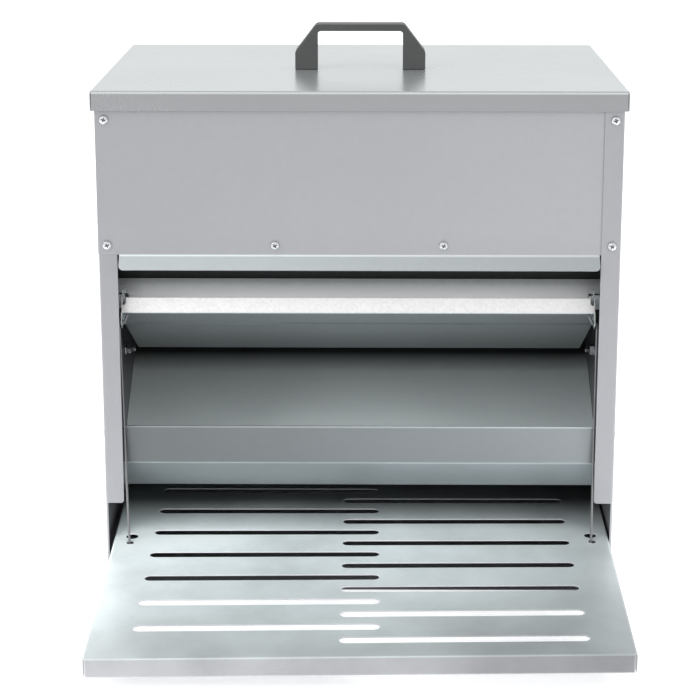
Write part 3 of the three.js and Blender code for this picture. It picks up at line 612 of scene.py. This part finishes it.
def tube(name, points, radius, bend, material, body, slot, stands_for):
    """A round wire through points, with its bends rounded."""
    curve = bpy.data.curves.new(name, "CURVE")
    curve.dimensions = "3D"
    curve.bevel_depth = radius
    curve.bevel_resolution = 4
    curve.use_fill_caps = True
    route = [points[0]]
    for i in range(1, len(points) - 1):
        route += rounded_corner(points[i - 1], points[i], points[i + 1], bend, 6)
    route.append(points[-1])
    spline = curve.splines.new("POLY")
    spline.points.add(len(route) - 1)
    for point, place in zip(spline.points, route):
        point.co = (*place, 1.0)
    scratch = bpy.data.objects.new("scratch", curve)
    bpy.context.scene.collection.objects.link(scratch)
    bpy.context.view_layer.update()
    evaluated = scratch.evaluated_get(bpy.context.evaluated_depsgraph_get())
    mesh = bpy.data.meshes.new_from_object(evaluated)
    bpy.data.objects.remove(scratch)
    mesh.name = name
    mesh.shade_smooth()
    mesh.set_sharp_from_angle(angle=math.radians(50.0))
    new_object(name, mesh, material, body, slot, stands_for)


def fine_rods():
    """The two wires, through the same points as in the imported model, in millimetres."""
    front = -150.0
    hook_y = front + 20.0
    flap_shift, foot_shift = -1.0, 0.9
    for side in (1, -1):
        name = "right" if side > 0 else "left"
        tail = Vector((side * 180.0 + flap_shift, hook_y, 222.0))
        elbow = Vector((side * 182.5 + flap_shift, hook_y, 216.4))
        shoulder = Vector((side * 186.6 + flap_shift, hook_y, 215.5))
        in_plate = Vector((side * 182.2 + foot_shift, front - 5.6, 44.0))
        knee = in_plate + (in_plate - shoulder).normalized() * 5.0
        points = [tail, elbow, shoulder, knee, knee + Vector((-side * 6.0, 0.0, -0.6))]
        tube(f"fine_{name}_rod", [p * MM for p in points], 1.0 * MM, 1.9 * MM, WIRE,
             f"{name}_rod", "zinc_wire", f"{name}_pull_rod")


def fine_treadle():
    """The treadle's own sheet, a little twisted from use: its left front corner hangs lowest."""
    mesh = nodes["treadle_plate"].data.copy()
    low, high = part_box("treadle_plate")
    built = bmesh.new()
    built.from_mesh(mesh)
    step = 30 * MM
    for axis in range(2):
        normal = Vector((axis == 0, axis == 1, 0))
        for i in range(1, int((high[axis] - low[axis]) / step)):
            everything = built.verts[:] + built.edges[:] + built.faces[:]
            place = normal * (low[axis] + i * step)
            bmesh.ops.bisect_plane(built, geom=everything, plane_co=place, plane_no=normal)
    half = (high.x - low.x) / 2
    for vertex in built.verts:
        reach = (high.y - vertex.co.y) / (high.y - low.y)
        vertex.co.z += TREADLE_TWIST * reach * vertex.co.x / half
    built.to_mesh(mesh)
    built.free()
    mesh.name = "fine_treadle"
    mesh.shade_smooth()
    mesh.set_sharp_from_angle(angle=math.radians(30.0))
    new_object("fine_treadle", mesh, TREADLE, "treadle", "treadle_sheet", "treadle_plate")


fasteners()
fine_handle()
fine_rods()
fine_treadle()


# ---------------------------------------------------------------- stage, light and camera

def floor():
    """A pale floor, greyer toward the camera, that glows a little: a painted light."""
    material = bpy.data.materials.new("pale_floor")
    n = Nodes(material)
    shader = n.add("ShaderNodeBsdfPrincipled")
    near = n.ranged(n.axis(1), 0.55, 1.0, -0.6, -0.365)
    colour = n.tinted((0.93, 0.93, 0.93), n.math("MULTIPLY", near, n.ranged(n.noise(3.0), 0.99, 1.01)))
    n.feed(shader.inputs["Base Color"], colour)
    # Painted light: the floor glows, though it is no lamp.
    n.feed(shader.inputs["Emission Color"], colour)
    shader.inputs["Emission Strength"].default_value = 0.5
    n.feed(shader.inputs["Roughness"], 0.9)
    n.feed(n.output.inputs["Surface"], shader.outputs[0])
    mesh = bpy.data.meshes.new("pale_floor")
    built = bmesh.new()
    bmesh.ops.create_grid(built, x_segments=2, y_segments=2, size=6.0)
    built.to_mesh(mesh)
    built.free()
    mesh.materials.append(material)
    plane = bpy.data.objects.new("pale_floor", mesh)
    bpy.context.scene.collection.objects.link(plane)


def softbox(name, place, target, size, power):
    """A rectangular light that is left out of reflections, where it would burn the bright lid white."""
    light = bpy.data.lights.new(name, "AREA")
    light.shape = "RECTANGLE"
    light.size, light.size_y = size
    light.energy = power
    lamp = bpy.data.objects.new(name, light)
    lamp.location = place
    lamp.visible_glossy = False
    lamp.rotation_euler = (Vector(target) - Vector(place)).to_track_quat("-Z", "Y").to_euler()
    bpy.context.scene.collection.objects.link(lamp)


def world():
    """A studio, white behind the feeder; in front it is grey low down, bright above and dim overhead."""
    studio = bpy.data.worlds.new("studio")
    n = Nodes(studio, "ShaderNodeOutputWorld", "Generated")
    across, forward, up = (n.axis(i) for i in range(3))
    low = n.ranged(across, 0.44, 0.56, -0.15, 0.15)
    high = n.ranged(across, 1.25, 1.0, -0.3, 0.3)
    front = n.math("MULTIPLY", n.ranged(up, low, high, -0.12, 0.4), n.ranged(up, 1.0, 0.55, 0.55, 0.8))
    background = n.add("ShaderNodeBackground")
    background.inputs["Color"].default_value = (0.985, 0.99, 1.0, 1.0)
    n.feed(background.inputs["Strength"], n.ranged(forward, front, 1.08, 0.1, 0.6))
    n.feed(n.output.inputs["Surface"], background.outputs[0])
    bpy.context.scene.world = studio


def camera():
    """The photographed view: from in front and a little above."""
    pitch, yaw = 14.65, 0.57
    lens = bpy.data.cameras.new("camera")
    lens.sensor_width = 36.0
    lens.lens = 110.6
    lens.clip_end = 50.0
    eye = bpy.data.objects.new("camera", lens)
    eye.location = (0.009, -1.7605, 0.6202)
    eye.rotation_euler = (math.radians(90.0 - pitch), 0.0, math.radians(yaw))
    bpy.context.scene.collection.objects.link(eye)
    bpy.context.scene.camera = eye


floor()
world()
BESIDE, ABOVE = (0.0, -0.1, 0.15), (0.0, -0.2, 0.1)
softbox("left", (-1.9, -1.7, 1.3), BESIDE, (1.2, 1.2), 26.0)
softbox("right", (1.9, -1.7, 1.3), BESIDE, (1.2, 1.2), 20.0)
softbox("top", (-0.3, -0.9, 2.2), ABOVE, (2.0, 2.0), 28.0)
camera()
bpy.context.scene.view_settings.view_transform = "Standard"
